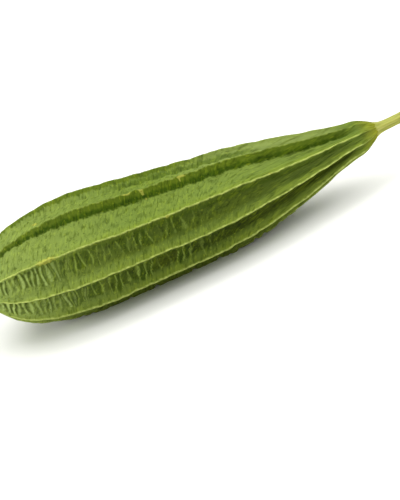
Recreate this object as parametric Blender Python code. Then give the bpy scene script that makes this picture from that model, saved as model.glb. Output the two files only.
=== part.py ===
"""Ridge gourd as picked, lying on its side: one ribbed fruit and the stalk it hung by.

Run it from Blender's text editor, or with blender --background --python part.py.
Metres, +Z up, +X from the blossom end towards the stalk. The fruit rests on two of its ten ridges,
and the origin is on the surface below the middle of the whole object.
"""

import math

import bmesh
import bpy
import numpy as np
from mathutils import Matrix, Vector

# Driving dimensions of the fruit. x runs along its axis from the blossom end.
FRUIT_LENGTH = 0.265
RIDGE_COUNT = 10
# How far the ridge crests stand from the axis, as (x, radius): a blunt end, a fat belly and a long neck.
CREST_LINE = (
    (0.0028, 0.0025),
    (0.0045, 0.0070),
    (0.0100, 0.0158),
    (0.0207, 0.0258),
    (0.0330, 0.0317),
    (0.0530, 0.0363),
    (0.0760, 0.0378),
    (0.1060, 0.0356),
    (0.1430, 0.0330),
    (0.1720, 0.0301),
    (0.2040, 0.0231),
    (0.2400, 0.0134),
    (0.2530, 0.0110),
    (0.2600, 0.0080),
    (FRUIT_LENGTH, 0.0048),
)
# The scar of the flower: a short round nub beyond the end of the crests.
NUB_RINGS = ((0.0000, 0.0013), (0.0005, 0.0019), (0.0018, 0.0022))
# The axis sags between its two ends, most of all past the middle, as (x, height).
AXIS_LINE = (
    (0.000, 0.0000),
    (0.070, -0.0015),
    (0.110, -0.0035),
    (0.155, -0.0058),
    (0.204, -0.0046),
    (0.235, -0.0026),
    (FRUIT_LENGTH, -0.0008),
)
# Past the blossom end all ridges have one size, so the valleys between them narrow with the body.
RIDGE_HEIGHT = 0.0054
RIDGE_HALF_WIDTH = 0.0048  # from the crest to the foot of either flank, along the skin
FLANK_HOLLOW = 1.25  # 1 is a straight flank, more is a hollow one below a sharper crest
FOOT_ROUNDING = 0.12  # how softly a flank runs out into the valley, as a share of the half width
VALLEY_SAG = 0.0008  # how far the middle of a wide valley lies below its sides
DEEPEST = 0.30  # no valley is deeper than this share of the crest radius
FIRST_RIDGE_SIZE = 0.40  # share of that height and width with which the ridges start
RIDGES_GROW_OVER = (0.015, 0.080)  # where they grow to their full size
RIDGE_RISE = 0.022  # they emerge from the smooth blossom end over this length
RIDGE_FADE = 0.022  # and sink again over this length before the stalk

# Uneven growth. The ridges twist round the axis as one, as (x, degrees), and each stands a little off its place.
TWIST_LINE = (
    (0.000, 1.2),
    (0.090, 1.4),
    (0.120, 0.0),
    (0.168, -2.4),
    (0.220, -1.6),
    (FRUIT_LENGTH, -1.0),
)
RIDGE_SHIFTS = (1.0, -1.5, 0.5, 0.0, 2.0, 0.0, -2.4, 0.0, 0.0, -1.5)  # degrees, from ridge 0 at +Y
SHIFT_GROWS_OVER = (0.0, 0.06)
# Each crest also drifts from side to side and has low bumps, and folds run across one flank of each valley.
SEED = 7
DRIFT = math.radians(0.6)
DRIFT_WAVELENGTH = 0.105
BUMP_HEIGHT = 0.0001
BUMP_WAVELENGTHS = (0.034, 0.0215, 0.0140)
FOLD_HEIGHT = 0.0005
FOLD_PITCH = 0.0125
FOLD_SIDE = -0.10  # folds sit this share of a ridge's spacing off the valley's middle
FOLD_WIDTH = 0.30
FOLD_START, FOLD_END = 0.018, 0.215

# How the object lies.
REST_PITCH = math.radians(0.8)  # the stalk end is the lower one
FLAT_DEPTH = 0.0007  # what the weight presses flat on each ridge below
SEAT_GAP = 0.0003

# The stalk leaves the fruit along its axis, then rises a little.
STALK_FOOT_RADIUS = 0.0044
STALK_RADIUS = 0.0031
STALK_FOOT_LENGTH = 0.006
STALK_LENGTH = 0.042
STALK_RISE = 0.005
STALK_RIB_COUNT = 5
STALK_RIB_HEIGHT = 0.10  # share of the stalk's radius
STALK_CUT_RADIUS = 0.0036

# Fineness of the faceted solids.
COLUMNS_PER_RIDGE = 8
CREST_CROWDING = 0.04  # draws the columns towards the crests
RING_SPACING = 0.0042
STALK_SIDES = 20
STALK_RINGS = 14


def smooth_line(stations, spacing):
    """A smooth curve through 2D stations (Catmull-Rom), with points a given distance apart along it."""
    points = np.array(stations)
    padded = np.vstack([2 * points[0] - points[1], points, 2 * points[-1] - points[-2]])
    share = np.linspace(0, 1, 40, endpoint=False)[:, None]
    spans = []
    for before, start, end, after in zip(padded, padded[1:], padded[2:], padded[3:]):
        spans.append(
            start
            + share * (end - before) / 2
            + share**2 * (before - 2.5 * start + 2 * end - after / 2)
            + share**3 * (1.5 * (start - end) + (after - before) / 2)
        )
    curve = np.vstack(spans + [points[-1:]])
    run = np.concatenate([[0], np.cumsum(np.linalg.norm(np.diff(curve, axis=0), axis=1))])
    wanted = np.linspace(0, run[-1], max(2, round(run[-1] / spacing) + 1))
    return np.column_stack([np.interp(wanted, run, curve[:, i]) for i in (0, 1)])


def smooth_step(value, start, end):
    """0 before start, 1 after end, and a smooth rise between them."""
    share = np.clip((value - start) / (end - start), 0, 1)
    return share * share * (3 - 2 * share)


CURVE_SPACING = 0.002
AXIS_CURVE = smooth_line(AXIS_LINE, CURVE_SPACING)


def axis_height(x):
    return np.interp(x, AXIS_CURVE[:, 0], AXIS_CURVE[:, 1])


def twist_at(x):
    return np.radians(np.interp(x, *np.transpose(TWIST_LINE)))


def growth_phases():
    """Seeded phases of the waves on each ridge: its drift, its crest bumps and its folds."""
    draw = np.random.default_rng(SEED)
    return {
        "drift": draw.uniform(0, 2 * math.pi, RIDGE_COUNT),
        "bump": draw.uniform(0, 2 * math.pi, (len(BUMP_WAVELENGTHS), RIDGE_COUNT)),
        "fold": draw.uniform(0, 2 * math.pi, RIDGE_COUNT),
    }


def below_crest(x, crest_radius, off_crest):
    """How far the skin lies below the crests, at a distance to the side of a crest in turns of one spacing."""
    size = FIRST_RIDGE_SIZE + (1 - FIRST_RIDGE_SIZE) * smooth_step(x, *RIDGES_GROW_OVER)
    aside = np.abs(off_crest) * 2 * math.pi / RIDGE_COUNT * crest_radius / (size * RIDGE_HALF_WIDTH)
    left = 1 - aside  # 1 on the crest, 0 at the foot of the flank, negative in the valley
    climb = ((left + np.hypot(left, FOOT_ROUNDING)) / (1 + math.hypot(1, FOOT_ROUNDING))) ** FLANK_HOLLOW
    return size * RIDGE_HEIGHT * (1 - climb) + VALLEY_SAG * smooth_step(np.abs(off_crest), 0.1, 0.5)


def fruit_point(x, crest_radius, turn, phases):
    """The fruit's surface, as x, y and z: turn is the angle round the axis, in turns of one ridge's spacing."""
    ridge = np.round(turn).astype(int) % RIDGE_COUNT
    valley = np.floor(turn).astype(int) % RIDGE_COUNT
    off_crest = turn - np.round(turn)  # -0.5 to 0.5, and 0 on a crest
    across = turn - np.floor(turn) - 0.5  # -0.5 to 0.5, and 0 in a valley's middle
    closeness = 1 - 2 * np.abs(off_crest)  # 1 on a crest, 0 in a valley

    full = smooth_step(x, 0.001, RIDGE_RISE) * (
        1 - 0.6 * smooth_step(x, FRUIT_LENGTH - RIDGE_FADE, FRUIT_LENGTH)
    )
    depth = full * np.minimum(below_crest(x, crest_radius, off_crest), DEEPEST * crest_radius)

    bumps = sum(
        np.sin(2 * math.pi * x / wavelength + phase[ridge])
        for wavelength, phase in zip(BUMP_WAVELENGTHS, phases["bump"])
    )
    bump = BUMP_HEIGHT * bumps * closeness**3

    side = (across - FOLD_SIDE) / FOLD_WIDTH
    folded = np.exp(-2 * side**2) * (1 - closeness**4)
    along = smooth_step(x, FOLD_START, FOLD_START + 0.02) * (1 - smooth_step(x, FOLD_END - 0.09, FOLD_END))
    fold = FOLD_HEIGHT * along * folded * np.sin(2 * math.pi * x / FOLD_PITCH + phases["fold"][valley])

    radius = crest_radius - depth + full * (bump + fold)
    drift = DRIFT * np.sin(2 * math.pi * x / DRIFT_WAVELENGTH + phases["drift"][ridge])
    shift = np.radians(RIDGE_SHIFTS)[ridge] * smooth_step(x, *SHIFT_GROWS_OVER)
    angle = turn * 2 * math.pi / RIDGE_COUNT + twist_at(x) + full * (drift + shift) * closeness
    return x, radius * np.cos(angle), radius * np.sin(angle) + axis_height(x)


def fruit_rings():
    """The (x, crest radius) of every ring, from the nub to the seat of the stalk."""
    return np.vstack([NUB_RINGS, smooth_line(CREST_LINE, RING_SPACING)])


def material(name, colour, roughness):
    made = bpy.data.materials.new(name)
    made.use_nodes = True
    shader = made.node_tree.nodes["Principled BSDF"]
    shader.inputs["Base Color"].default_value = (*colour, 1)
    shader.inputs["Roughness"].default_value = roughness
    shader.inputs["Metallic"].default_value = 0
    return made


def object_from(name, form, collection, finish=None):
    mesh = bpy.data.meshes.new(name)
    form.to_mesh(mesh)
    form.free()
    made = bpy.data.objects.new(name, mesh)
    collection.objects.link(made)
    if finish:
        mesh.materials.append(finish)
    return made


def shade_round(obj, sharp):
    obj.data.shade_smooth()
    obj.data.set_sharp_from_angle(angle=sharp)


def make_fruit(collection):
    """A ball whose rings and columns are moved onto the fruit's surface, pole to pole along the axis."""
    rings = fruit_rings()
    columns = RIDGE_COUNT * COLUMNS_PER_RIDGE
    form = bmesh.new()
    bmesh.ops.create_uvsphere(form, u_segments=columns, v_segments=len(rings) + 1, radius=1)

    ball = np.array([v.co for v in form.verts])
    polar = np.arccos(np.clip(-ball[:, 2], -1, 1))
    ring = np.rint(polar / math.pi * (len(rings) + 1)).astype(int) - 1
    column = np.rint(np.arctan2(ball[:, 1], ball[:, 0]) / (2 * math.pi) * columns) % columns
    blossom_pole, stalk_pole = ring < 0, ring >= len(rings)
    x, crest = rings[np.clip(ring, 0, len(rings) - 1)].T
    crest = np.where(blossom_pole | stalk_pole, 0, crest)

    share = column / COLUMNS_PER_RIDGE
    turn = share - CREST_CROWDING * np.sin(2 * math.pi * share)
    places = np.column_stack(fruit_point(x, crest, turn, growth_phases()))
    poles = blossom_pole | stalk_pole
    places[poles] = np.column_stack([x[poles], 0 * x[poles], axis_height(x[poles])])
    for vertex, place in zip(form.verts, places):
        vertex.co = place

    bmesh.ops.triangulate(form, faces=form.faces[:])
    bmesh.ops.recalc_face_normals(form, faces=form.faces[:])
    fruit = object_from("gourd_fruit", form, collection, material("gourd_skin", (0.15, 0.24, 0.05), 0.5))
    shade_round(fruit, math.radians(50))
    return fruit


def make_stalk(collection):
    """A cylinder whose rings are moved square onto the stalk's curve: a flared foot, low ribs and a cut end."""
    form = bmesh.new()
    bmesh.ops.create_cone(
        form, cap_ends=True, cap_tris=True, segments=STALK_SIDES, radius1=1, radius2=1, depth=1
    )
    length_edges = [e for e in form.edges if abs(e.verts[0].co.z - e.verts[1].co.z) > 0.5]
    bmesh.ops.subdivide_edges(form, edges=length_edges, cuts=STALK_RINGS, use_grid_fill=True)
    for vertex in form.verts:
        share = vertex.co.z + 0.5
        run = STALK_LENGTH * share**1.3
        around = math.atan2(vertex.co.y, vertex.co.x)
        flare = math.exp(-2.5 * run / STALK_FOOT_LENGTH)
        swell = float(smooth_step(share, 0.8, 1.0))
        radius = STALK_RADIUS + (STALK_FOOT_RADIUS - STALK_RADIUS) * flare
        radius += (STALK_CUT_RADIUS - STALK_RADIUS) * swell
        radius *= 1 + STALK_RIB_HEIGHT * math.cos(STALK_RIB_COUNT * around)
        radius *= math.hypot(vertex.co.x, vertex.co.y)
        lean = math.atan(2 * STALK_RISE * run / STALK_LENGTH**2)
        vertex.co = (
            run - radius * math.sin(around) * math.sin(lean),
            radius * math.cos(around),
            radius * math.sin(around) * math.cos(lean) + STALK_RISE * (run / STALK_LENGTH) ** 2,
        )
    bmesh.ops.triangulate(form, faces=form.faces[:])
    bmesh.ops.recalc_face_normals(form, faces=form.faces[:])
    stalk = object_from("fruit_stalk", form, collection, material("green_stalk", (0.48, 0.50, 0.10), 0.45))
    stalk.location = (FRUIT_LENGTH + SEAT_GAP, 0, float(axis_height(FRUIT_LENGTH)))
    shade_round(stalk, math.radians(40))
    return stalk


def corners(objects):
    """Lowest and highest world corner of all the vertices."""
    places = np.array([obj.matrix_world @ v.co for obj in objects for v in obj.data.vertices])
    return places.min(axis=0), places.max(axis=0)


def lay_down(fruit, stalk, collection):
    """Tilts the pieces as they lie, and moves them so that the origin is below the middle of their box."""
    holder = bpy.data.objects.new("lie_of_the_gourd", None)
    collection.objects.link(holder)
    for obj in (fruit, stalk):
        obj.parent = holder
    holder.rotation_euler.y = REST_PITCH
    bpy.context.view_layer.update()
    lowest, highest = corners((fruit, stalk))
    middle = (lowest + highest) / 2
    holder.location = (-middle[0], -middle[1], -lowest[2] - FLAT_DEPTH)
    bpy.context.view_layer.update()


def press_flat(fruit, cutters):
    """Cuts the ridges below off level with the surface, where the weight has pressed them."""
    slab = bmesh.new()
    thickness = 0.02
    bmesh.ops.create_cube(slab, size=1, matrix=Matrix.Diagonal(Vector((0.4, 0.2, thickness, 1))))
    cutter = object_from("table_cutter", slab, cutters)
    cutter.location.z = -thickness / 2
    cutter.hide_render = True
    cutter.display_type = "WIRE"
    cut = fruit.modifiers.new("pressed flat", "BOOLEAN")
    cut.operation = "DIFFERENCE"
    cut.solver = "EXACT"
    cut.object = cutter


def main():
    for old in list(bpy.data.objects):
        bpy.data.objects.remove(old)
    gourd = bpy.data.collections.new("ridge_gourd")
    cutters = bpy.data.collections.new("cutters")
    for made in (gourd, cutters):
        bpy.context.scene.collection.children.link(made)
    fruit = make_fruit(gourd)
    stalk = make_stalk(gourd)
    lay_down(fruit, stalk, gourd)
    press_flat(fruit, cutters)


main()
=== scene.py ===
# %% [markdown]
# # A ridge gourd on a table
#
# This notebook dresses a solid model of a ridge gourd: the long green fruit with ten sharp ridges that is
# also sold as angled luffa. The solid model gives the size and the place of its two pieces, the fruit and
# the stalk. It is loaded first and never moved, and every surface below is worked out to lie where its
# solid lies.

import math

import bpy
import numpy as np
from mathutils import Matrix, Vector


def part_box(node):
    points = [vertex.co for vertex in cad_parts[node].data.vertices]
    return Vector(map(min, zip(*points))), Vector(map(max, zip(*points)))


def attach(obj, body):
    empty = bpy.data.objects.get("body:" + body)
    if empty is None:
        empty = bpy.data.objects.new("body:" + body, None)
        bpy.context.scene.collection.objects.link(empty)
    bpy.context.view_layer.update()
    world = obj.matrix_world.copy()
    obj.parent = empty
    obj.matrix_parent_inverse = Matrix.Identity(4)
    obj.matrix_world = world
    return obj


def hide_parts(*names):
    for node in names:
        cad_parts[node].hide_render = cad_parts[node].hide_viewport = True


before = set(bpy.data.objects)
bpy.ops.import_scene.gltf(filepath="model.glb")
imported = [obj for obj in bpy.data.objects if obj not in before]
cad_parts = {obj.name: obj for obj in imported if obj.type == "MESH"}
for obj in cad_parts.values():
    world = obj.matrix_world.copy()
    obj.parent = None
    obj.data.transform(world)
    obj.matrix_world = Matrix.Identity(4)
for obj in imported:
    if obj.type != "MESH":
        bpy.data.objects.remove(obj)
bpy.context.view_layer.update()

# %% [markdown]
# ## The gourd's own measures
#
# A fruit like this is a turned form that has grown unevenly. It could be sculpted, but then nothing would tie
# it to its solid. Three lines give the turned form instead: how far the crests of the ridges stand from the
# axis, how the axis sags, and how the ridges twist round it. The solid model is built from the same lines, so
# they are written here in the same way, in metres and degrees, with x measured along the axis from the
# blossom end.

# %% Driving dimensions of the fruit
FRUIT_LENGTH = 0.265
RIDGE_COUNT = 10
# x, and how far the crests stand from the axis.
CREST_LINE = (
    (0.0028, 0.0025),
    (0.0045, 0.0070),
    (0.0100, 0.0158),
    (0.0207, 0.0258),
    (0.0330, 0.0317),
    (0.0530, 0.0363),
    (0.0760, 0.0378),
    (0.1060, 0.0356),
    (0.1430, 0.0330),
    (0.1720, 0.0301),
    (0.2040, 0.0231),
    (0.2400, 0.0134),
    (0.2530, 0.0110),
    (0.2600, 0.0080),
    (FRUIT_LENGTH, 0.0048),
)
# x, and the height of the axis.
AXIS_LINE = (
    (0.000, 0.0000),
    (0.070, -0.0015),
    (0.110, -0.0035),
    (0.155, -0.0058),
    (0.204, -0.0046),
    (0.235, -0.0026),
    (FRUIT_LENGTH, -0.0008),
)
# x, and the degrees by which the ridges have turned there.
TWIST_LINE = (
    (0.000, 1.2),
    (0.090, 1.4),
    (0.120, 0.0),
    (0.168, -2.4),
    (0.220, -1.6),
    (FRUIT_LENGTH, -1.0),
)
# Degrees by which each ridge stands off its even place, and the stretch over which it leaves that place.
RIDGE_SHIFTS = (1.0, -1.5, 0.5, 0.0, 2.0, 0.0, -2.4, 0.0, 0.0, -1.5)
SHIFT_GROWS_OVER = (0.0, 0.06)
REST_PITCH = math.radians(0.8)
# x and radius of the first rings, round the small nub that the flower left.
NUB_RINGS = ((0.0000, 0.0013), (0.0005, 0.0019), (0.0018, 0.0022))

belly_x, belly_radius = max(CREST_LINE, key=lambda station: station[1])
print("fruit without its stalk, mm:", 1000 * FRUIT_LENGTH, "long,", round(2000 * belly_radius, 1), "thick")

# %% [markdown]
# The uneven growth is drawn from one seeded generator, in the same order as in the solid model: a slow drift
# of each ridge to the side, low bumps along its crest, and broad folds in its valley. A seed gives the same
# gourd every time, where hand-placed bumps would repeat themselves or look placed.

# %% Uneven growth
SEED = 7
DRIFT = math.radians(0.6)
DRIFT_WAVELENGTH = 0.105
BUMP_HEIGHT = 0.0001
BUMP_WAVELENGTHS = (0.034, 0.0215, 0.0140)

draw = np.random.default_rng(SEED)
drift_phase = draw.uniform(0, 2 * math.pi, RIDGE_COUNT)
bump_phase = draw.uniform(0, 2 * math.pi, (len(BUMP_WAVELENGTHS), RIDGE_COUNT))
fold_phase = draw.uniform(0, 2 * math.pi, RIDGE_COUNT)
print("ridges:", RIDGE_COUNT, "bump waves on each crest:", len(BUMP_WAVELENGTHS))

# %% [markdown]
# ## A surface from two parameters
#
# A point of the skin has two parameters: the ring it lies on, which is a place along the fruit, and its turn
# round the axis, counted in ridges. With whole arrays for both, one formula gives every point at once. The
# lines above are first made smooth, because straight spans between their points would show as corners.

# %% Smooth lines and steps
SPAN_STEPS = 40
AXIS_SPACING = 0.002


def smooth_line(stations, spacing):
    """A Catmull-Rom curve through 2D stations: each span is the cubic that leaves a station along the chord
    between its neighbours. The points of the result are a given distance apart along the curve."""
    points = np.array(stations)
    padded = np.vstack([2 * points[0] - points[1], points, 2 * points[-1] - points[-2]])
    share = np.linspace(0, 1, SPAN_STEPS, endpoint=False)[:, None]
    before, start, end, after = (padded[i : len(points) - 1 + i, None, :] for i in range(4))
    spans = (
        start
        + share * (end - before) / 2
        + share**2 * (before - 2.5 * start + 2 * end - after / 2)
        + share**3 * (1.5 * (start - end) + (after - before) / 2)
    )
    curve = np.vstack([spans.reshape(-1, 2), points[-1:]])
    run = np.concatenate([[0], np.cumsum(np.linalg.norm(np.diff(curve, axis=0), axis=1))])
    wanted = np.linspace(0, run[-1], max(2, round(run[-1] / spacing) + 1))
    return np.column_stack([np.interp(wanted, run, curve[:, i]) for i in (0, 1)])


def smooth_step(value, start, end):
    """0 before start, 1 after end, and 3s^2 - 2s^3 between them, where s is the share of the way."""
    share = np.clip((value - start) / (end - start), 0, 1)
    return share * share * (3 - 2 * share)


axis_curve = smooth_line(AXIS_LINE, AXIS_SPACING)
twist_curve = np.array(TWIST_LINE)


def axis_height(x):
    """Height of the fruit's axis at x, read off the smooth axis line."""
    return np.interp(x, axis_curve[:, 0], axis_curve[:, 1])


print("the axis sags by, mm:", round(-1000 * axis_curve[:, 1].min(), 1))

# %% [markdown]
# Each ridge is a fin of one height and one width, whatever the girth of the fruit beside it. The valleys take
# what is left of the way round: they are broad and nearly flat over the belly and close up towards the neck.
# A power rule across the whole valley would widen the fins with the girth, which real ones do not do. Only
# near the blossom end, where growth began last, are the fins themselves smaller.

# %% The ridges and where they stand
RIDGE_HEIGHT = 0.0054
RIDGE_HALF_WIDTH = 0.0048
FLANK_HOLLOW = 1.25
FOOT_ROUNDING = 0.12
VALLEY_SAG = 0.0008
SAG_ACROSS = (0.1, 0.5)
FIRST_RIDGE_SIZE = 0.40
RIDGES_GROW_OVER = (0.015, 0.080)
RIDGES_RISE_OVER = (0.001, 0.022)
RIDGES_SINK_OVER = (FRUIT_LENGTH - 0.022, FRUIT_LENGTH)
SUNK_SHARE = 0.6


def ridge_places(turn):
    """For a turn counted in ridges: the nearest ridge, the valley it lies in, the way across that valley
    (-0.5 to 0.5) and the closeness to the nearest crest (1 on it, 0 in the valley's middle)."""
    ridge = np.round(turn).astype(int) % RIDGE_COUNT
    valley = np.floor(turn).astype(int) % RIDGE_COUNT
    across = turn - np.floor(turn) - 0.5
    closeness = 1 - 2 * np.abs(turn - np.round(turn))
    return ridge, valley, across, closeness


def fullness(x):
    """How far the ridges have grown at x: a step up behind the blossom end, and part of one down again
    before the stalk."""
    return smooth_step(x, *RIDGES_RISE_OVER) * (1 - SUNK_SHARE * smooth_step(x, *RIDGES_SINK_OVER))


def ridge_size(x):
    """Share of their full height and width that the ridges have at x."""
    return FIRST_RIDGE_SIZE + (1 - FIRST_RIDGE_SIZE) * smooth_step(x, *RIDGES_GROW_OVER)


def below_crest(x, crest_radius, off_crest):
    """Depth below the crests: a hollow flank down to a rounded foot, and a floor that sags slightly. The
    flank is a power of the share of the half width that is left, and a hypotenuse rounds its foot."""
    size = ridge_size(x)
    aside = np.abs(off_crest) * 2 * math.pi / RIDGE_COUNT * crest_radius / (size * RIDGE_HALF_WIDTH)
    left = 1 - aside
    climb = ((left + np.hypot(left, FOOT_ROUNDING)) / (1 + math.hypot(1, FOOT_ROUNDING))) ** FLANK_HOLLOW
    return size * RIDGE_HEIGHT * (1 - climb) + VALLEY_SAG * smooth_step(np.abs(off_crest), *SAG_ACROSS)


ridge_sizes = ridge_size(np.array([CREST_LINE[0][0], FRUIT_LENGTH / 2]))
print("height of a ridge at its start and in the middle, mm:", np.round(1000 * RIDGE_HEIGHT * ridge_sizes, 1))

# %% [markdown]
# The main form adds the uneven growth to those fins. It is the solid's own formula, so that the finer skin
# below has the same outline. The whole form is then tilted by less than a degree, as the gourd lies at rest.

# %% The main form, as the solid model has it
DEEPEST = 0.30
FOLD_HEIGHT = 0.0005
FOLD_PITCH = 0.0125
FOLD_SIDE = -0.10
FOLD_WIDTH = 0.30
FOLDS_BEGIN_OVER = (0.018, 0.038)
FOLDS_END_OVER = (0.125, 0.215)


def main_form(x, crest_radius, turn):
    """Radius and angle of the skin: the crest radius, less the depth below the crests, plus sine bumps on
    each crest and sine folds in each valley. The angle adds the twist, each ridge's shift and its drift."""
    ridge, valley, across, closeness = ridge_places(turn)
    full = fullness(x)
    depth = full * np.minimum(below_crest(x, crest_radius, turn - np.round(turn)), DEEPEST * crest_radius)
    bumps = sum(
        np.sin(2 * math.pi * x / wavelength + phase[ridge])
        for wavelength, phase in zip(BUMP_WAVELENGTHS, bump_phase)
    )
    bump = BUMP_HEIGHT * bumps * closeness**3
    side = (across - FOLD_SIDE) / FOLD_WIDTH
    folded = np.exp(-2 * side**2) * (1 - closeness**4)
    along = smooth_step(x, *FOLDS_BEGIN_OVER) * (1 - smooth_step(x, *FOLDS_END_OVER))
    fold = FOLD_HEIGHT * along * folded * np.sin(2 * math.pi * x / FOLD_PITCH + fold_phase[valley])
    radius = crest_radius - depth + full * (bump + fold)
    drift = DRIFT * np.sin(2 * math.pi * x / DRIFT_WAVELENGTH + drift_phase[ridge])
    shifted = np.radians(RIDGE_SHIFTS)[ridge] * smooth_step(x, *SHIFT_GROWS_OVER)
    twist = np.radians(np.interp(x, twist_curve[:, 0], twist_curve[:, 1]))
    angle = turn * 2 * math.pi / RIDGE_COUNT + twist + full * (drift + shifted) * closeness
    return radius, angle


def tilted(x, y, z):
    """Points turned about the Y axis by the pitch at which the gourd rests."""
    cosine, sine = math.cos(REST_PITCH), math.sin(REST_PITCH)
    return np.stack([cosine * x + sine * z, y, cosine * z - sine * x], axis=-1)


def in_place(x, radius, angle):
    """Radius and angle as points about the sagging axis, tilted."""
    return tilted(x, radius * np.cos(angle), radius * np.sin(angle) + axis_height(x))


belly_radii, _ = main_form(belly_x, belly_radius, np.array([0.0, 0.5]))
print("radius at the belly, on a crest and in a valley, mm:", np.round(1000 * belly_radii, 1))

# %% [markdown]
# ## Where the gourd lies
#
# The solid fruit has coarse rings. The same rings are worked out here, and the shift that lays their box over
# the solid's box is the shift for everything else, so nothing is placed by eye. Upwards the tops are matched,
# because the solid's lowest ridges are pressed flat where it rests.

# %% Measure the shift
SOLID_RING_SPACING = 0.0042
SOLID_COLUMNS = 8
SOLID_CROWDING = 0.04


def crowded(share, crowding):
    """Even shares of a turn, drawn towards whole turns by a sine, so that the crests get more columns."""
    return share - crowding * np.sin(2 * math.pi * share)


solid_rings = np.vstack([NUB_RINGS, smooth_line(CREST_LINE, SOLID_RING_SPACING)])
solid_turns = crowded(np.arange(RIDGE_COUNT * SOLID_COLUMNS) / SOLID_COLUMNS, SOLID_CROWDING)
solid_x, solid_turn = np.meshgrid(solid_rings[:, 0], solid_turns, indexing="ij")
solid_points = in_place(solid_x, *main_form(solid_x, solid_rings[:, 1:2], solid_turn)).reshape(-1, 3)
fruit_low, fruit_high = (np.array(corner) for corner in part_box("gourd_fruit"))
shift = (fruit_low + fruit_high) / 2 - (solid_points.min(axis=0) + solid_points.max(axis=0)) / 2
shift[2] = fruit_high[2] - solid_points[:, 2].max()
print("shift of the fruit, mm:", np.round(1000 * shift, 2).tolist())

# %% [markdown]
# ## The skin, close up
#
# Four kinds of detail sit on the main form: cross folds in the valleys, scars, the keels and creased feet of
# the ridges, and soft lumps of the faces. They could be bumps in the material, but then the edges and the
# exported model would be smooth. Here each is a formula that is added to the radius. Three helpers serve them
# all: a mean of waves for what is uneven, a bell for what is narrow, and a least value for what never fades.

# %% Waves, bells and least values
def waves(place, wavelengths, phases):
    """The mean of some sine waves along a place, each with its own wavelength and its own phase."""
    return sum(np.sin(2 * math.pi * place / w + p) for w, p in zip(wavelengths, phases)) / len(wavelengths)


def bell(distance, half_width):
    """1 at no distance, falling to 1/e at the half width, by the square of the distance."""
    return np.exp(-((distance / half_width) ** 2))


def at_least(least, share):
    """The share, lifted so that it starts at a least value and still ends at 1."""
    return least + (1 - least) * share


print("a bell at half, one and two half widths:", np.round(bell(np.array([0.5, 1, 2]), 1), 2))

# %% [markdown]
# The valleys are puckered like cloth drawn up on a thread. Near the blossom end the folds are thin ribs 3 mm
# apart. Further on they widen into soft pillows 5 mm apart and more, and they die out towards the neck. Each
# fold starts under a crest and reaches part of the way across. An even row of waves would look pressed in a
# mould, so the line of each fold wobbles, and each draws its own height, its two ends and how dark it is.

# %% Cross folds in the valleys
# x, and the distance between two folds.
PUCKER_PITCHES = ((0.0, 0.0031), (0.045, 0.0035), (0.10, 0.0050), (0.18, 0.0062), (FRUIT_LENGTH, 0.0062))
# x, and the power that narrows the folds.
PUCKER_NARROWNESS = ((0.0, 2.6), (0.045, 2.0), (0.075, 0.8), (FRUIT_LENGTH, 0.6))
PUCKERS_RISE_OVER = (0.004, 0.02)
PUCKERS_FADE_OVER = (0.10, 0.17)
VALLEY_PUCKERS = (0.6, 0.4, 0.35, 0.15, 1.0, 1.2, 1.0, 0.9, 1.0, 0.8)
# In pitches: how far the folds slant across a valley, and the half width of the crease between them.
PUCKER_SLANT = 0.3
PUCKER_CREASE = 0.11
# How far a fold's line wobbles, in pitches, the wavelength, and how the wobble leans across the valley.
PUCKER_WOBBLES = ((0.24, 0.021, 3), (0.11, 0.0083, -7))
# Where folds start and end on the way across a valley, how much that varies, and how softly it happens.
PUCKER_START, START_VARIES, SOFT_START = -0.52, 0.06, 0.10
START_MOVES, START_MOVES_OVER = 0.06, (0.04, 0.07)
VALLEY_PUCKER_ENDS = (0.02, 0.02, 0.02, 0.02, 0.02, 0.18, 0.10, 0.02, 0.02, 0.02)
END_VARIES, SOFT_END = 0.16, 0.12
LEAST_PUCKER = 0.5
FIRST_PUCKER = 1.5
SPARE_PUCKERS = 4
PITCH_STEPS = 800
CHANCES = ("size", "start", "end", "tone")
WAVES_EACH = 3

pitch_x = np.linspace(0, FRUIT_LENGTH, PITCH_STEPS)
pitch_at = np.interp(pitch_x, *np.transpose(PUCKER_PITCHES))
pucker_count = np.concatenate([[0], np.cumsum(np.diff(pitch_x) / pitch_at[1:])])
pucker_chance = draw.uniform(0, 1, (len(CHANCES), RIDGE_COUNT, int(pucker_count[-1]) + SPARE_PUCKERS))
wobble_phase = draw.uniform(0, 2 * math.pi, (WAVES_EACH, RIDGE_COUNT))


def puckers(x, turn):
    """Height, reach, creases and tone of the cross folds, each about 0 to 1. A count of folds runs along x,
    slanted across the valley and wobbling by sines. The height is a power of its sine: a high power leaves
    narrow ribs, a low one broad pillows. The creases are where the count is whole, and the reach is a step up
    times a step down across the valley, times the strength of the folds there."""
    _, valley, across, _ = ridge_places(turn)
    wobble = sum(
        share * np.sin(2 * math.pi * x / wavelength + phase[valley] + lean * across)
        for (share, wavelength, lean), phase in zip(PUCKER_WOBBLES, wobble_phase)
    )
    count = np.interp(x, pitch_x, pucker_count) + PUCKER_SLANT * across + wobble + FIRST_PUCKER
    number = np.clip(np.floor(count).astype(int), 0, pucker_chance.shape[2] - 1)
    size_chance, start_chance, end_chance, tone = pucker_chance[:, valley, number]
    height = np.abs(np.sin(math.pi * count)) ** np.interp(x, *np.transpose(PUCKER_NARROWNESS))
    start = PUCKER_START + START_VARIES * start_chance + START_MOVES * smooth_step(x, *START_MOVES_OVER)
    end = np.array(VALLEY_PUCKER_ENDS)[valley] + END_VARIES * end_chance
    lively = smooth_step(x, *PUCKERS_RISE_OVER) * (1 - smooth_step(x, *PUCKERS_FADE_OVER))
    reach = smooth_step(across, start, start + SOFT_START) * (1 - smooth_step(across, end, end + SOFT_END))
    reach = reach * lively * np.array(VALLEY_PUCKERS)[valley] * at_least(LEAST_PUCKER, size_chance)
    return height, reach, bell(count - np.round(count), PUCKER_CREASE), tone


print("folds drawn in each valley:", int(pucker_count[-1]))

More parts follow.
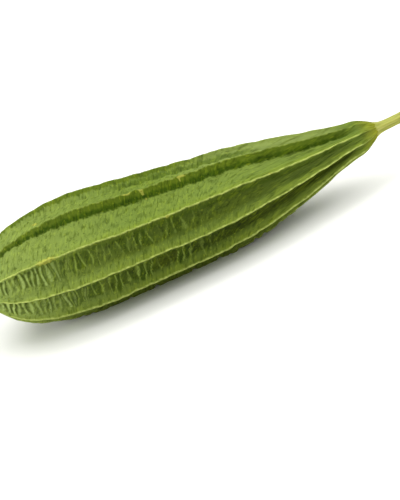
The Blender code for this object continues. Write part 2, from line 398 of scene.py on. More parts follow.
# %% [markdown]
# A few knocks and rubs have healed as dry, slightly sunken scars, most of them on a crest, where the fruit is
# touched first. Those in view are placed where the photograph has them. A random scatter would be
# quicker, but these few are what the eye finds first on the belly.

# %% Scars
# x and turn of the middle, half length along x and half width, in metres, and depth.
SCARS = (
    (0.1150, 3.03, 0.0012, 0.0026, 0.0009),
    (0.1158, 3.22, 0.0008, 0.0008, 0.0002),
    (0.1400, 3.02, 0.0036, 0.0005, 0.0002),
    (0.1385, 3.06, 0.0005, 0.0018, 0.0002),
    (0.1060, 3.00, 0.0034, 0.0006, 0.0002),
    (0.0475, 4.00, 0.0070, 0.0019, 0.0004),
    (0.0495, 2.60, 0.0022, 0.0016, 0.0002),
    (0.1225, 4.02, 0.0016, 0.0010, -0.0003),
    (0.1900, 3.98, 0.0014, 0.0006, 0.0002),
    (0.0900, 5.02, 0.0020, 0.0005, 0.0001),
    (0.1500, 8.40, 0.0040, 0.0020, 0.0002),
)
# The edge of a scar, in shares of its half sizes, and how far, how finely and from where two waves fray it.
SCAR_EDGE = (0.5, 1.15)
RAGGEDNESS = 0.25
RAGGED_ALONG, RAGGED_ASIDE = 0.0005, 0.0004
RAGGED_TURN, RAGGED_PHASE = 3, 5


def scars(x, crest_radius, turn):
    """Mark (0 to 1) and depth of the scars: each is an ellipse on the skin, ragged by two short waves."""
    mark, depth = 0 * turn, 0 * turn
    for middle, at_turn, half_length, half_width, deep in SCARS:
        aside = (turn - at_turn) * 2 * math.pi / RIDGE_COUNT * crest_radius
        reach = np.hypot((x - middle) / half_length, aside / half_width)
        ragged = np.sin(x / RAGGED_ALONG + RAGGED_TURN * middle) * np.sin(aside / RAGGED_ASIDE + RAGGED_PHASE)
        spot = 1 - smooth_step(reach + RAGGEDNESS * ragged, *SCAR_EDGE)
        mark, depth = np.maximum(mark, spot), depth + deep * spot
    return mark, depth


print("scars:", len(SCARS), "deepest, mm:", 1000 * max(scar[-1] for scar in SCARS))

# %% [markdown]
# A thin keel, harder than the rest, runs along each crest. On the lowest of the ridges in view it is worn
# into teeth. Where a flank meets the valley the foot of the ridge is creased and lumpy, most of all on the
# side that faces down in the photograph. The broad faces swell gently. All of it is measured in metres from
# the crest or from the foot, and not in shares of a valley, so it keeps its size from the belly to the neck.

# %% Keels, teeth, feet and lumps
KEEL_HEIGHT = 0.00035
KEEL_HALF_WIDTH = 0.0006
HOLLOW_HALF_WIDTH = 5 * KEEL_HALF_WIDTH
TOOTH_HEIGHT = 0.0009
TOOTH_PITCHES = (0.0083, 0.0061, 0.0145)
TOOTH_REACH = 0.5
RIDGE_TEETH = (0.3, 0.2, 0.15, 0.3, 0.15, 0.2, 0.3, 1.0, 0.3, 0.3)
TEETH_GROW_OVER = (0.03, 0.09)
NECK = (0.17, 0.22)
FOOT_WANDER = 0.0007
FOOT_WANDER_WAVELENGTHS = (0.0026, 0.0061, 0.0137)
FOOT_CREASE = 0.0004
FOOT_CREASE_HALF_WIDTH = 0.0008
FOOT_LUMP = 0.0006
FOOT_LUMP_HALF_WIDTH = 0.0018
FOOT_LUMP_WAVELENGTHS = (0.0043, 0.0071, 0.0113)
# The feet above a crest have this share of the relief of those below it.
UPPER_FOOT_SHARE = 0.3
PUCKER_HEIGHT = 0.0010
PUCKER_MIDDLE = 0.5
LUMP_HEIGHT = 0.0003
LUMP_WAVELENGTHS = (0.047, 0.029, 0.017)
LUMP_SLANT = 0.02


def beside_crest(x, crest_radius, turn):
    """Metres to the side of the nearest crest, the half width of its ridge, metres inside the ridge's foot,
    and how far that foot wanders: by waves along x."""
    ridge, _, _, _ = ridge_places(turn)
    aside = (turn - np.round(turn)) * 2 * math.pi / RIDGE_COUNT * crest_radius
    half_width = ridge_size(x) * RIDGE_HALF_WIDTH
    wander = FOOT_WANDER * waves(x, FOOT_WANDER_WAVELENGTHS, wobble_phase[:, ridge])
    return aside, half_width, half_width - np.abs(aside) + wander, wander


def fine_relief(x, crest_radius, turn):
    """Metres added to the main form's radius. A keel is what is left between two hollows, a tooth is a wave
    cut off above zero, a foot is lumps less a crease, and each is a bell wide. The scars' depth is taken off,
    and the folds and the lumps of the faces are added."""
    ridge, valley, across, closeness = ridge_places(turn)
    aside, half_width, from_foot, _ = beside_crest(x, crest_radius, turn)
    full = fullness(x)
    relief = -KEEL_HEIGHT * full * bell(aside, HOLLOW_HALF_WIDTH) * (1 - bell(aside, KEEL_HALF_WIDTH))

    grown = smooth_step(x, *TEETH_GROW_OVER) * (1 - smooth_step(x, *NECK))
    teeth = waves(x, TOOTH_PITCHES, wobble_phase[:, ridge]) * np.array(RIDGE_TEETH)[ridge]
    relief = relief + TOOTH_HEIGHT * grown * bell(aside, TOOTH_REACH * half_width) * (teeth - np.abs(teeth))

    crease = bell(from_foot, FOOT_CREASE_HALF_WIDTH)
    lumpy = waves(x, FOOT_LUMP_WAVELENGTHS, wobble_phase[:, valley]) * bell(from_foot, FOOT_LUMP_HALF_WIDTH)
    side_share = np.where(across < 0, 1, UPPER_FOOT_SHARE)
    relief = relief + full * side_share * (FOOT_LUMP * lumpy - FOOT_CREASE * crease)
    _, scar_depth = scars(x, crest_radius, turn)
    relief = relief - scar_depth

    height, reach, _, _ = puckers(x, turn)
    relief = relief + PUCKER_HEIGHT * reach * (height - PUCKER_MIDDLE)
    lumps = waves(x + LUMP_SLANT * across, LUMP_WAVELENGTHS, wobble_phase[:, valley])
    return relief + LUMP_HEIGHT * full * lumps * (1 - closeness**2)


relief_heights = np.array([KEEL_HEIGHT, TOOTH_HEIGHT, FOOT_LUMP, PUCKER_HEIGHT])
print("heights of keel, teeth, foot and folds, mm:", np.round(1000 * relief_heights, 2))

# %% [markdown]
# The colours follow the same growth, so each is a mark on the mesh that comes from the same places as the
# relief. A painted image would need unwrapping, and marks do not. The flank below each crest is a duller
# green with painted shade on it, and darkest at its foot, where painted shade lies in the crease. The flank
# above is a yellower green with painted light on it. Past the belly a groove or streak of painted shade runs
# in the crease along some feet. The keels are worn pale in places. The tables say how strongly each ridge
# shows its mark, in the order in which they are numbered round the fruit: ridges 2 to 7 are in view.

# %% Marks of the ridges
RIDGE_KEELS = (0.8, 0.6, 0.4, 0.45, 1.0, 1.0, 1.0, 0.7, 0.6, 0.8)
# How dark the flank below each crest is: partly a duller skin, partly painted shade.
RIDGE_DULL_SHADES = (0.6, 0.6, 1.0, 1.0, 0.35, 0.55, 0.9, 0.9, 0.6, 0.6)
RIDGE_DULL_WIDTHS = (0.6, 0.5, 0.42, 1.0, 1.0, 1.0, 1.0, 1.0, 0.8, 0.7)
# Painted shade: how strongly each ridge has a dark line in the crease at its foot, above it and below it.
RIDGE_GROOVES = (0.3, 0.3, 0.4, 1.0, 0.0, 0.15, 0.2, 0.3, 0.3, 0.3)
RIDGE_STREAKS = (0.3, 0.5, 1.1, 0.0, 0.0, 0.0, 0.0, 0.0, 0.2, 0.3)
VALLEY_BLOOMS = (0.6, 0.9, 1.0, 0.1, 0.0, 0.0, 0.0, 0.1, 0.2, 0.4)
# Stretches along the fruit over which a mark grows or fades.
BLOOM_GROWS_OVER = (0.12, 0.18)
DULL_GROWS_OVER = (0.012, 0.03)
GROOVES_GROW_OVER, GROOVES_FADE_OVER = (0.08, 0.12), (0.175, 0.205)
BY_THE_STALK = (0.236, 0.253)
# Steps across a ridge: the edge of a flank, the edge of its dull part with painted shade, and its foot of
# painted shade.
FLANK_EDGE, DULL_EDGE = (-0.0006, 0.0010), (-0.0005, 0.0007)
DARK_FOOT = (0.3, 0.65)
# A dark line of painted shade lies in the crease at the foot above a crest, and another just inside the foot
# below it.
GROOVE_HALF_WIDTH, STREAK_HALF_WIDTH, STREAK_OFFSET = 0.0014, 0.0020, 0.0008
WEAR_WAVELENGTHS, WEAR_EDGE = (0.0031, 0.0052, 0.0090), (-0.4, 0.6)
# Shares of the half width of a ridge: how much narrower the dull part with painted shade is at the neck, and
# the flank with painted light.
DULL_NARROWS, BRIGHT_HALF_WIDTH = 0.15, 0.6
# Shares of a mark: what the bloom and the stalk's end take off, what wear leaves, and the painted shade in a
# dull foot's crease.
BLOOM_HIDES, STALK_HIDES, LEAST_KEEL, FOOT_SHADE_SHARE = 0.6, 0.65, 0.6, 0.9


def ridge_marks(x, crest_radius, turn):
    """Marks of the ridges, 0 to 1: products of steps along x, steps or bells across, and the tables."""
    ridge, valley, across, _ = ridge_places(turn)
    aside, half_width, from_foot, wander = beside_crest(x, crest_radius, turn)
    full = fullness(x)
    below = across < 0
    bloom = np.array(VALLEY_BLOOMS)[valley] * smooth_step(x, *BLOOM_GROWS_OVER)
    dull_width = half_width * np.array(RIDGE_DULL_WIDTHS)[ridge] * (1 - DULL_NARROWS * smooth_step(x, *NECK))
    # Painted shade, partly a duller skin: the flank below each crest is darkened.
    dull = smooth_step(dull_width - np.abs(aside) + wander, *DULL_EDGE) * below * full
    dull = dull * np.array(RIDGE_DULL_SHADES)[ridge] * smooth_step(x, *DULL_GROWS_OVER)
    dull = dull * (1 - BLOOM_HIDES * bloom) * (1 - STALK_HIDES * smooth_step(x, *BY_THE_STALK))
    keel = full * bell(aside, KEEL_HALF_WIDTH) * np.array(RIDGE_KEELS)[ridge]
    worn = smooth_step(waves(x, WEAR_WAVELENGTHS, wobble_phase[:, valley]), *WEAR_EDGE)
    # Painted shade in the creases at the feet, drawn as dark lines.
    streak_shade = np.array(RIDGE_STREAKS)[ridge] * bell(from_foot - STREAK_OFFSET, STREAK_HALF_WIDTH)
    foot_line_shade = np.array(RIDGE_GROOVES)[ridge] * bell(from_foot, GROOVE_HALF_WIDTH)
    grooved = full * smooth_step(x, *GROOVES_GROW_OVER) * (1 - smooth_step(x, *GROOVES_FADE_OVER))
    # Painted light, partly a yellower skin: the flank above each crest is made brighter.
    bright = full * smooth_step(from_foot, *FLANK_EDGE) * ~below
    return {
        "keel": keel * at_least(LEAST_KEEL, worn),
        "dull_shaded_flank": dull,
        # Painted shade at the foot of that flank, where the crease is.
        "flank_foot_shade": dull * smooth_step((np.abs(aside) + wander) / half_width, *DARK_FOOT),
        "bright_lit_flank": bright * bell(aside, BRIGHT_HALF_WIDTH * half_width),
        "foot_line_shade": grooved * np.where(below, streak_shade, foot_line_shade),
        # Painted shade in the crease at the foot of the flank.
        "foot_crease_shade": FOOT_SHADE_SHARE * dull * bell(from_foot, FOOT_CREASE_HALF_WIDTH),
    }


# The streak is a line of painted shade.
print("ridges with a streak below the crest:", np.flatnonzero(RIDGE_STREAKS).tolist())

# %% [markdown]
# The lower valleys in view are darkened over the belly by painted shade, and the upper ones carry a bloom
# towards the neck, a powder of wax that pales them. Near the blossom end the ribs are pale, partly a paler
# skin and partly painted light on their tops, with painted shade in the creases between them. Further on it
# is the
# other way round: each fold is a dark patch, partly a darker skin and partly painted shade, and a pale line
# runs between two.

# %% Marks of the valleys
# Painted shade over the belly, darker towards the bottom, and how strongly each valley has it.
VALLEY_SHADES = (0.1, 0.0, 0.0, 0.0, 0.85, 1.2, 1.0, 0.7, 0.5, 0.3)
VALLEY_PALINGS = (0.3, 0.3, 0.3, 0.3, 0.35, 0.0, 0.1, 0.2, 0.3, 0.3)
VALLEY_SHADE_GROWS_OVER = (0.0, 0.115)
VALLEY_SHADE_ENDS_ACROSS = (0.15, 0.42)
BLOOM_FADES_OVER = (0.235, 0.25)
FOLDS_DARKEN_OVER = (0.03, 0.055)
RIBS_DULL_OVER = (0.03, 0.08)
# Shares of a mark that are taken off: of the valley's painted shade past its middle, and of the ribs' painted
# light and the creases' painted shade further on.
ACROSS_HIDES, RIBS_DULL, CREASES_DULL = 0.65, 0.6, 0.7
# The least share of a mark that is left where its tone or height is lowest.
LEAST_TONE, LEAST_HEIGHT, LEAST_LINE = 0.1, 0.4, 0.4


def valley_marks(x, turn):
    """Marks of the valleys and their folds, 0 to about 1: the same kind of products."""
    _, valley, across, _ = ridge_places(turn)
    height, reach, fold_crease, tone = puckers(x, turn)
    darkened = reach * smooth_step(x, *FOLDS_DARKEN_OVER)
    dulled = smooth_step(x, *RIBS_DULL_OVER)
    # Painted shade in the lower valleys.
    valley_shade = np.array(VALLEY_SHADES)[valley] * smooth_step(x, *VALLEY_SHADE_GROWS_OVER)
    valley_shade = valley_shade * (1 - ACROSS_HIDES * smooth_step(across, *VALLEY_SHADE_ENDS_ACROSS))
    valley_shade = valley_shade * (1 - np.array(VALLEY_PALINGS)[valley] * smooth_step(x, *NECK))
    bloom = np.array(VALLEY_BLOOMS)[valley] * smooth_step(x, *BLOOM_GROWS_OVER)
    return {
        # Partly a darker skin, partly painted shade: a dark patch on each fold.
        "pucker_shade": darkened * at_least(LEAST_TONE, tone) * at_least(LEAST_HEIGHT, height),
        "line": darkened * fold_crease * at_least(LEAST_LINE, tone),
        # Partly a paler skin, partly painted light on the tops of the ribs.
        "lit_rib": reach * height * (1 - RIBS_DULL * dulled),
        # Painted shade in the creases between the folds.
        "fold_crease": reach * (1 - height) * (1 - CREASES_DULL * dulled),
        "low_valley_shade": valley_shade * (1 - STALK_HIDES * smooth_step(x, *BY_THE_STALK)),
        "bloom": bloom * (1 - smooth_step(x, *BLOOM_FADES_OVER)),
    }


# These are the valleys with painted shade.
print("valleys with deep green:", np.flatnonzero(VALLEY_SHADES).tolist())

# %% [markdown]
# The fine strokes of the skin run across the valleys over the belly and turn lengthwise towards the neck,
# where the fruit grew longest. A pattern on plain object coordinates would cut straight through the ridges,
# so the mesh carries its own coordinates, in millimetres along and round the skin. Towards the neck the
# distance along is counted shorter and the distance round longer, which draws the same strokes out
# lengthwise. Each valley is set off from the next, so no pattern runs on over a crest.

# %% Coordinates of the skin's pattern
STROKES_TURN_OVER = (0.13, 0.20)
DRAWN_OUT = 0.8
VALLEY_OFFSET = 40.0


def skin_place(x, crest_radius, turn):
    """Millimetres along the skin, millimetres round it from the valley's middle, and the valley's own offset.
    The first is the sum of the steps between rings, each shortened where the strokes are drawn out."""
    _, valley, across, _ = ridge_places(turn)
    lengthwise = smooth_step(x, *STROKES_TURN_OVER)
    along = np.cumsum(np.diff(x, axis=0, prepend=0) * (1 - DRAWN_OUT * lengthwise), axis=0)
    arc = across * 2 * math.pi / RIDGE_COUNT * crest_radius * (1 + lengthwise)
    return np.stack([1000 * along, 1000 * arc, VALLEY_OFFSET * valley], -1)


print("strokes in the neck are drawn out", round(1 / (1 - DRAWN_OUT), 1), "times lengthwise")


def colour_marks(x, crest_radius, turn):
    """Every mark of the skin by name. The two kinds of crease, both painted shade, share one mark, the
    stronger of the two.
    """
    scar, _ = scars(x, crest_radius, turn)
    marks = ridge_marks(x, crest_radius, turn) | valley_marks(x, turn)
    # Painted shade in creases.
    marks["crease"] = np.maximum(marks.pop("fold_crease"), marks.pop("foot_crease_shade"))
    marks["scar"] = scar
    marks["along"] = x / FRUIT_LENGTH + 0 * turn
    marks["skin_place"] = skin_place(x, crest_radius, turn)
    return marks


# %% [markdown]
# ## From arrays to meshes
#
# Fruit and stalk are both closed sleeves: rings of points, joined by four-sided faces, and shut at either end
# by a fan to a pole. The faces are wound so that they look outwards. Each mark becomes an attribute of the
# mesh, and a pole takes the mean of the ring beside it.

# %% Mesh of a closed sleeve
def sleeve(name, grid, first_pole, last_pole, marks):
    """A mesh from rings of points, closed round each ring and to a pole at either end."""
    rings, columns = grid.shape[:2]
    points = np.vstack([grid.reshape(-1, 3), first_pole, last_pole])
    index = np.arange(rings * columns).reshape(rings, columns)
    beside = np.roll(index, -1, axis=1)
    quads = np.stack([index[:-1], beside[:-1], beside[1:], index[1:]], axis=-1).reshape(-1, 4)
    pole = np.full(columns, rings * columns)
    start = np.stack([pole, beside[0], index[0]], axis=-1)
    end = np.stack([pole + 1, index[-1], beside[-1]], axis=-1)
    mesh = bpy.data.meshes.new(name)
    mesh.from_pydata(points.tolist(), [], quads.tolist() + start.tolist() + end.tolist())
    for mark, values in marks.items():
        kind, field = ("FLOAT", "value") if values.ndim == 2 else ("FLOAT_VECTOR", "vector")
        ends = np.stack([values[0].mean(axis=0), values[-1].mean(axis=0)])
        kept = mesh.attributes.new(mark, kind, "POINT")
        flat = np.concatenate([values.ravel(), ends.ravel()])
        kept.data.foreach_set(field, flat.astype(np.float32))
    mesh.shade_smooth()
    made = bpy.data.objects.new(name, mesh)
    bpy.context.scene.collection.objects.link(made)
    print(name, "has", len(quads) * 2 + 2 * columns, "triangles")
    return made


# %% [markdown]
# The skin's grid is as fine as a piece may be: half a millimetre between rings where the ribs are and about
# a millimetre in the neck, and columns drawn in towards the crests so that the keels are sharp. An even grid
# would spend as much on the plain neck as on the ribs. The rings are crowded by a count: each step along the
# crest line, divided by the spacing wanted there, is a share of a ring.

# %% Grid of the skin
# x, and the spacing of the rings there.
RING_SPACINGS = (
    (0.0, 0.0005),
    (0.07, 0.0005),
    (0.09, 0.0007),
    (0.16, 0.0008),
    (0.20, 0.0011),
    (FRUIT_LENGTH, 0.0011),
)
COLUMNS_PER_RIDGE = 24
COLUMN_CROWDING = 0.085
# x and radius of the nub that the flower left.
NUB_LINE = (
    (0.0000, 0.0007),
    (0.0000, 0.0014),
    (0.0005, 0.0019),
    (0.0012, 0.0020),
    (0.0022, 0.0020),
    (0.0028, 0.0025),
)
NUB_SPACING = 0.0003
CLOSE_SPACING = 0.0001

close_rings = smooth_line(CREST_LINE, CLOSE_SPACING)
ring_count = np.cumsum(CLOSE_SPACING / np.interp(close_rings[:, 0], *np.transpose(RING_SPACINGS)))
wanted = np.linspace(ring_count[0], ring_count[-1], int(ring_count[-1]))
body_rings = np.column_stack([np.interp(wanted, ring_count, line) for line in close_rings.T])
fine_rings = np.vstack([smooth_line(NUB_LINE, NUB_SPACING)[:-1], body_rings])
fine_turns = crowded(np.arange(RIDGE_COUNT * COLUMNS_PER_RIDGE) / COLUMNS_PER_RIDGE, COLUMN_CROWDING)
skin_x, skin_turn = np.meshgrid(fine_rings[:, 0], fine_turns, indexing="ij")
skin_crest = np.repeat(fine_rings[:, 1:2], len(fine_turns), axis=1)
print("rings and columns of the skin:", skin_x.shape)

# %% [markdown]
# The skin is the main form with the fine relief on it. Its crests also sway a little from side to side, more
# tightly than the solid can show. It then replaces the fruit's solid, and it is cut off at the solid's box,
# so that it is as flat underneath, where it rests.

# %% Make the skin
CREST_SWAY = 0.0004
SWAY_WAVELENGTHS = (0.0093, 0.0171, 0.0331)

skin_radius, skin_angle = main_form(skin_x, skin_crest, skin_turn)
near_ridge, _, _, near_crest = ridge_places(skin_turn)
sway = CREST_SWAY * waves(skin_x, SWAY_WAVELENGTHS, wobble_phase[:, near_ridge]) * near_crest**3
skin_angle = skin_angle + fullness(skin_x) * sway / skin_crest
skin_relief = fine_relief(skin_x, skin_crest, skin_turn)
skin_grid = in_place(skin_x, skin_radius + skin_relief, skin_angle) + shift
skin_grid = np.clip(skin_grid, fruit_low, fruit_high)
poles = [in_place(np.array(x), 0.0, 0.0) + shift for x in fine_rings[[0, -1], 0]]
relief_range = np.array([skin_relief.min(), skin_relief.max()])
print("fine relief, lowest and highest, mm:", np.round(1000 * relief_range, 2))
skin_marks = colour_marks(skin_x, skin_crest, skin_turn)
print("marks on the skin:", ", ".join(skin_marks))
fruit = sleeve("ribbed_skin", skin_grid, *poles, skin_marks)
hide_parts("gourd_fruit")
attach(fruit, "root")

# %% [markdown]
# ## The stalk
#
# The stalk grew out of the fruit, so it has no joint line of its own: its foot flares and sinks into the end
# of the fruit between the last of the ridges. It is five-angled, grooved between the angles, and swells a
# little where it was cut. A bent cylinder would be quicker, but a profile carried along a rising path gives
# the flare, the ribs and the cut in one surface.

# %% Make the stalk
SEAT_GAP = 0.0003
STALK_FOOT_RADIUS = 0.0044
STALK_RADIUS = 0.0031
STALK_CUT_RADIUS = 0.0036
STALK_FOOT_LENGTH = 0.006
FLARE_FALL = 2.5
CUT_SWELLS_OVER = (0.85, 1.0)
STALK_LENGTH = 0.042
STALK_RISE = 0.005
STALK_RIB_COUNT = 5
STALK_RIB_HEIGHT = 0.10
STALK_SUNK = 0.003
STALK_RINGS = 150
STALK_COLUMNS = 60

share = np.linspace(0, 1, STALK_RINGS)[:, None]
around = np.arange(STALK_COLUMNS)[None, :] * 2 * math.pi / STALK_COLUMNS
run = -STALK_SUNK + (STALK_LENGTH + STALK_SUNK) * share
outside = np.clip(run, 0, None)
flare = np.exp(-FLARE_FALL * outside / STALK_FOOT_LENGTH)
swell = smooth_step(outside / STALK_LENGTH, *CUT_SWELLS_OVER)
stalk_radius = STALK_RADIUS + (STALK_FOOT_RADIUS - STALK_RADIUS) * flare
stalk_radius = stalk_radius + (STALK_CUT_RADIUS - STALK_RADIUS) * swell
stalk_radius = stalk_radius * (1 + STALK_RIB_HEIGHT * np.cos(STALK_RIB_COUNT * around))
lean = np.arctan(2 * STALK_RISE * outside / STALK_LENGTH**2)
stalk_x = FRUIT_LENGTH + SEAT_GAP + run - stalk_radius * np.sin(around) * np.sin(lean)
stalk_z = axis_height(FRUIT_LENGTH) + STALK_RISE * (outside / STALK_LENGTH) ** 2
stalk_z = stalk_z + stalk_radius * np.sin(around) * np.cos(lean)
stalk_grid = tilted(stalk_x, stalk_radius * np.cos(around), stalk_z) + shift
stalk_ends = [stalk_grid[0].mean(axis=0), stalk_grid[-1].mean(axis=0)]
girth = 1000 * STALK_RADIUS
stalk_places = np.broadcast_arrays(1000 * run, girth * np.cos(around), girth * np.sin(around))
stalk = sleeve("ribbed_stalk", stalk_grid, *stalk_ends, {"skin_place": np.stack(stalk_places, axis=-1)})
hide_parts("fruit_stalk")
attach(stalk, "root")

# %% [markdown]
# ## Colours and finishes
#
# Colours are written as a paint program shows them, in sRGB, and one function turns them to the linear light
# that a shader works in. A second small function adds any node, with its settings and links, so that a
# material reads as a list of what it is made of.

# %% Colours and nodes
def linear(hex_colour):
    """An sRGB hex colour as the linear red, green, blue and alpha that a socket wants."""
    parts = [int(hex_colour[i : i + 2], 16) / 255 for i in (1, 3, 5)]
    return [p / 12.92 if p <= 0.04045 else ((p + 0.055) / 1.055) ** 2.4 for p in parts] + [1.0]


def add(tree, kind, settings, values, links):
    """One node: settings are its own properties, values its sockets' constants, links what feeds sockets."""
    made = tree.nodes.new(kind)
    for key, value in settings.items():
        setattr(made, key, value)
    for key, value in values.items():
        made.inputs[key].default_value = value
    for key, socket in links.items():
        tree.links.new(socket, made.inputs[key])
    return made


print("half of full brightness in sRGB is this much light:", round(linear("#808080")[0], 3))

# %% [markdown]
# Each material starts from one colour, and layers turn it towards others: where a mark of the mesh is high,
# or where a noise pattern is. A layer's strength is the share by which it can turn the colour. Layers on one
# base are easier to tune than a few finished textures, because each says one thing about the skin.

# %% A material in layers
def layered_material(name, base, marks, patterns):
    """A principled material whose colour is a base turned towards others. A mark layer names a mark of the
    mesh. A pattern layer gives the size of its noise in mm along the gourd and round it, its slant in degrees
    and its detail. Both then give the values at which the layer starts and is full, its strength, how it
    blends and its colour. Returns the material, its shader and the outputs of the noises."""
    made = bpy.data.materials.new(name)
    made.use_nodes = True
    tree = made.node_tree
    place = add(tree, "ShaderNodeAttribute", {"attribute_name": "skin_place"}, {}, {}).outputs["Vector"]
    sources, noises = [], []
    for mark, *layer in marks:
        read = add(tree, "ShaderNodeAttribute", {"attribute_name": mark}, {}, {})
        sources.append((read.outputs["Fac"], layer))
    for along, across, slant, detail, *layer in patterns:
        sizes = {"Scale": (along, across, across), "Rotation": (0, 0, math.radians(slant))}
        sized = add(tree, "ShaderNodeMapping", {"vector_type": "TEXTURE"}, sizes, {"Vector": place})
        values = {"Scale": 1.0, "Detail": detail}
        pattern = add(tree, "ShaderNodeTexNoise", {}, values, {"Vector": sized.outputs["Vector"]})
        noises.append(pattern.outputs["Fac"])
        sources.append((pattern.outputs["Fac"], layer))
    colour = None
    for source, (start, full, strength, blend, towards) in sources:
        span = {"From Min": start, "From Max": full, "To Max": strength}
        amount = add(tree, "ShaderNodeMapRange", {"clamp": True}, span, {"Value": source}).outputs["Result"]
        # The sockets of a Mix node for colours: 0 takes the factor, 6 and 7 the two colours, and 2 gives one.
        values, links = {7: linear(towards)}, {0: amount}
        if colour is None:
            values[6] = linear(base)
        else:
            links[6] = colour
        settings = {"data_type": "RGBA", "blend_type": blend}
        colour = add(tree, "ShaderNodeMix", settings, values, links).outputs[2]
    shader = tree.nodes["Principled BSDF"]
    tree.links.new(colour, shader.inputs["Base Color"])
    print(name, "has", len(sources), "layers of colour")
    return made, shader, noises


# %% [markdown]
# A gourd's skin is green flesh under a thin coat of its own wax, as it grew, neither washed nor polished. The
# wax scatters the light, which gives the eye a matt olive green with only a soft sheen. Plant wax has an
# index of refraction near 1.45 and a roughness near 0.5. Here it is a little rougher and its highlights are
# weak, because the photograph has almost none. On top of the marks lie patterns, sized in millimetres: soft
# clouds, pale and dark strokes a little over a millimetre wide and five or six long, blotches, and specks.
# Real specks are well under a millimetre, too fine to show in the picture, so they are drawn 1.2 to 1.6 mm
# wide. The pale strokes also raise the skin slightly, which breaks up its sheen.

# %% Waxy skin of the gourd
WAX_ROUGHNESS = 0.55
WAX_IOR = 1.45
WAX_HIGHLIGHTS = 0.07
# Mark, values at which it starts and is full, strength, blend, and the colour that it turns the skin to.
SKIN_MARKS = (
    ("along", 0.40, 0.05, 0.3, "MIX", "#95a35c"),
    ("bloom", 0.0, 1.0, 0.5, "MIX", "#8d9a58"),
    # Painted light, partly a yellower skin, on the flank above each crest.
    ("bright_lit_flank", 0.2, 1.0, 0.35, "MIX", "#78861f"),
    # Painted shade in the lower valleys.
    ("low_valley_shade", 0.0, 1.2, 1.0, "MIX", "#2c3802"),
    # Partly a duller skin, partly painted shade: the flank below each crest.
    ("dull_shaded_flank", 0.2, 0.9, 0.8, "MIX", "#4a5d05"),
    # Painted shade at the foot of the flank below each crest.
    ("flank_foot_shade", 0.1, 0.9, 0.75, "MIX", "#254101"),
    # Painted shade in the creases at the feet of the ridges.
    ("foot_line_shade", 0.2, 0.9, 0.7, "MIX", "#42580a"),
    # Partly a darker skin, partly painted shade, on the folds.
    ("pucker_shade", 0.05, 0.7, 0.9, "MIX", "#2c3f02"),
    # Painted shade in the creases.
    ("crease", 0.25, 0.9, 0.75, "MIX", "#2a3a02"),
    # Partly a paler skin, partly painted light on the rib tops.
    ("lit_rib", 0.4, 0.85, 0.6, "MIX", "#9aad62"),
    ("line", 0.05, 0.75, 0.65, "MIX", "#8fa44a"),
    ("keel", 0.2, 0.8, 0.85, "MIX", "#bbc86c"),
    ("scar", 0.2, 0.8, 0.7, "MIX", "#abab4a"),
    ("along", 0.95, 1.0, 0.9, "MIX", "#7f7f1c"),
    ("along", 0.012, 0.008, 1.0, "MIX", "#6a5a30"),
)
# Size along and round in mm, slant and detail, then as above. In turn: soft clouds, pale strokes, dark
# strokes, dark blotches, pale specks and dark specks.
SKIN_PATTERNS = (
    (26, 12, 20, 2, 0.40, 0.70, 0.5, "SCREEN", "#2f3302"),
    (1.4, 6, 25, 2, 0.52, 0.68, 0.65, "SCREEN", "#4a5508"),
    (1.3, 5, 25, 2, 0.48, 0.32, 0.6, "MULTIPLY", "#96a050"),
    (5, 3.5, -15, 3, 0.46, 0.30, 0.45, "MULTIPLY", "#98a468"),
    (1.6, 1.6, 0, 1, 0.62, 0.74, 0.6, "SCREEN", "#5e6610"),
    (1.2, 1.4, 0, 1, 0.36, 0.27, 0.4, "MULTIPLY", "#747a38"),
)
PALE_STROKES = 1
STROKE_RELIEF = {"Strength": 0.35, "Distance": 0.0003}

skin, shader, noises = layered_material("gourd_skin_waxy", "#687c31", SKIN_MARKS, SKIN_PATTERNS)
shader.inputs["Roughness"].default_value = WAX_ROUGHNESS
shader.inputs["IOR"].default_value = WAX_IOR
shader.inputs["Specular IOR Level"].default_value = WAX_HIGHLIGHTS
bump = add(skin.node_tree, "ShaderNodeBump", {}, STROKE_RELIEF, {"Height": noises[PALE_STROKES]})
skin.node_tree.links.new(bump.outputs["Normal"], shader.inputs["Normal"])
fruit.data.materials.append(skin)

# %% [markdown]
# A fruit's stalk is bundles of plant fibre under a thin green skin. The fibres give the eye long streaks,
# dark and straw-coloured, and the skin a satin sheen, a little smoother than the fruit's wax. Fibre has an
# index of refraction near 1.5, which is the shader's own value. One streak pattern is 14 mm long and 1 mm
# wide, and it is read twice: its low parts turn the green darker, and its high parts turn it to straw.

# %% Fibrous stalk
FIBRE_ROUGHNESS = 0.45
STALK_PATTERNS = (
    (14, 1.0, 0, 3, 0.55, 0.35, 0.7, "MIX", "#6f781c"),
    (14, 1.0, 0, 3, 0.50, 0.70, 0.6, "MIX", "#b3ae58"),
)
stem, shader, _ = layered_material("stalk_fibrous", "#9a9c34", (), STALK_PATTERNS)
shader.inputs["Roughness"].default_value = FIBRE_ROUGHNESS
stalk.data.materials.append(stem)

# %% [markdown]
# ## Table and light
#
# The gourd lies on a table top of matt white laminate, which gives the eye an even, pale ground without
# reflections. Soft light comes mostly from above, and from both sides. Small lamps near the gourd would leave
# the ends of the table grey and the shadows hard, so the lamps are wide and stand a few metres off, and the
# table reaches past the edge of every view. A card close by on the left lifts the blossom end.

# %% Table
TABLE_SIZE = 14
LAMINATE_ROUGHNESS = 0.8

bpy.ops.mesh.primitive_plane_add(size=TABLE_SIZE, location=(0, 0, 0))
floor = bpy.context.object
floor.name = "table"
white = bpy.data.materials.new("laminate_white_matt")
white.use_nodes = True
shader = white.node_tree.nodes["Principled BSDF"]
shader.inputs["Base Color"].default_value = linear("#f4f4f0")
shader.inputs["Roughness"].default_value = LAMINATE_ROUGHNESS
floor.data.materials.append(white)
print("table, metres:", TABLE_SIZE, "square")

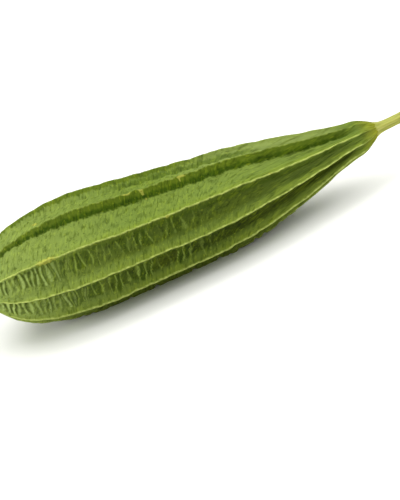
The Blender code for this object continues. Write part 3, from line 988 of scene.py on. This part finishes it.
# %% [markdown]
# Every lamp is a square that looks at the middle of the gourd. An even dome of light would flatten the
# ridges, so the world itself is almost dark and only keeps the shadows from going black.

# %% Lamps and world
# Size in metres, power in watts, and place.
LAMPS = {
    "overhead": (4.5, 100.0, (-0.125, -1.0, 3.0)),
    "behind": (3.0, 50.0, (-0.125, 1.125, 2.6)),
    "left_side": (2.0, 75.0, (-3.25, 0.0, 1.25)),
    "right_side": (3.0, 87.0, (2.5, -0.5, 2.0)),
    "left_card": (1.0, 5.0, (-1.25, -1.5, 0.6)),
}
LAMPS_LOOK_AT = (0, 0, 0.03)
WORLD_STRENGTH = 0.03

for name, (size, power, place) in LAMPS.items():
    lamp = bpy.data.lights.new(name, "AREA")
    lamp.size = size
    lamp.energy = power
    made = bpy.data.objects.new(name, lamp)
    bpy.context.scene.collection.objects.link(made)
    made.location = place
    made.rotation_euler = (Vector(place) - Vector(LAMPS_LOOK_AT)).to_track_quat("Z", "Y").to_euler()
world = bpy.data.worlds.new("studio")
bpy.context.scene.world = world
world.use_nodes = True
world.node_tree.nodes["Background"].inputs["Color"].default_value = (1, 1, 1, 1)
world.node_tree.nodes["Background"].inputs["Strength"].default_value = WORLD_STRENGTH
bpy.context.scene.view_settings.view_transform = "Standard"
print("lamps:", len(LAMPS), "together, watts:", sum(power for _, power, _ in LAMPS.values()))

# %% [markdown]
# ## Camera
#
# The picture was taken from about 30 degrees above the table, nearly square to the fruit. The gourd there
# leans upwards to the right. Here it lies flat, and the camera is rolled by the same angle, so the picture
# shows the same slant. Three directions at right angles make the camera's frame: back towards the lens, right
# and up, the last two then turned by the roll.

# %% Camera
AZIMUTH, ELEVATION, ROLL = (math.radians(angle) for angle in (-5.67, 29.12, 20.93))
DISTANCE = 0.85
LENS = 100.64
# The place along the fruit that the camera looks at, and how far its aim is off that place.
CENTRE_X = 0.13
AIM_RIGHT, AIM_UP = 0.0065, -0.0284

level = math.cos(ELEVATION)
back = Vector((math.sin(AZIMUTH) * level, -math.cos(AZIMUTH) * level, math.sin(ELEVATION)))
right = Vector((math.cos(AZIMUTH), math.sin(AZIMUTH), 0))
up = back.cross(right)
centre = Vector((CENTRE_X, 0, 0)) + Vector(shift)
eye = centre + AIM_RIGHT * right + AIM_UP * up + DISTANCE * back
right_rolled = math.cos(ROLL) * right - math.sin(ROLL) * up
up_rolled = math.sin(ROLL) * right + math.cos(ROLL) * up
camera_data = bpy.data.cameras.new("photograph")
camera_data.lens = LENS
camera = bpy.data.objects.new("photograph", camera_data)
bpy.context.scene.collection.objects.link(camera)
camera.matrix_world = Matrix.Translation(eye) @ Matrix((right_rolled, up_rolled, back)).transposed().to_4x4()
bpy.context.scene.camera = camera
print("camera, metres:", [round(value, 3) for value in eye], "lens, mm:", LENS)
